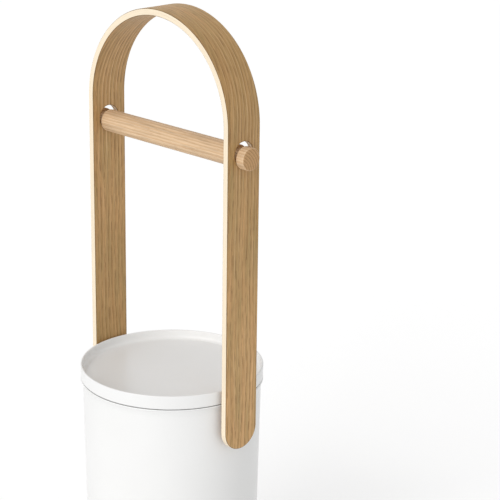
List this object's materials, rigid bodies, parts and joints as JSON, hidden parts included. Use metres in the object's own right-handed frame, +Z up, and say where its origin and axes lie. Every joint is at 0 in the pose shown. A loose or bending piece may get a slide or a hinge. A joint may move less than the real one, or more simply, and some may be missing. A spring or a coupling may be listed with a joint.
{
  "type": "toilet roll holder",
  "caption": "Free-standing toilet roll holder: white lidded canister for spare rolls, a tall bentwood bow fixed outside it and a turned wooden dowel across the bow.",
  "frame": {"origin": "middle of the underside, on the surface that the holder stands on", "axes": "+Z up; +X from the left leg of the bow to the right leg; +Y to the back, across the width of the strap"},
  "size_m": [0.2092, 0.1738, 0.6],
  "materials": {
    "satin_white": "satin white moulding",
    "oak_veneer": "clear matt lacquer on oak veneer, pale ply edges",
    "turned_oak": "clear matt lacquer on turned solid wood",
    "zinc_steel": "zinc plated",
    "brass": "bright",
    "white_nylon": "matt",
    "grey_rubber": "matt foam rubber"
  },
  "bodies": {
    "stand": {"canister": "satin_white", "anti_slip_pad": "grey_rubber", "bow": "oak_veneer", "screw_left_upper": "zinc_steel", "screw_left_lower": "zinc_steel", "screw_right_upper": "zinc_steel", "screw_right_lower": "zinc_steel", "washer_left_upper": "zinc_steel", "washer_left_lower": "zinc_steel", "washer_right_upper": "zinc_steel", "washer_right_lower": "zinc_steel", "spacer_left_upper": "white_nylon", "spacer_left_lower": "white_nylon", "spacer_right_upper": "white_nylon", "spacer_right_lower": "white_nylon", "insert_left_upper": "brass", "insert_left_lower": "brass", "insert_right_upper": "brass", "insert_right_lower": "brass"},
    "lid": {"lid": "satin_white"},
    "dowel": {"dowel": "turned_oak"}
  },
  "joints": [
    {"name": "lid_lift", "type": "slide", "parent": "stand", "child": "lid", "axis": [0, 0, 1], "range_m": [0, 0.15]},
    {"name": "dowel_spin", "type": "hinge", "parent": "stand", "child": "dowel", "pos_m": [0, 0, 0.4796], "axis": [1, 0, 0], "continuous": true}
  ]
}
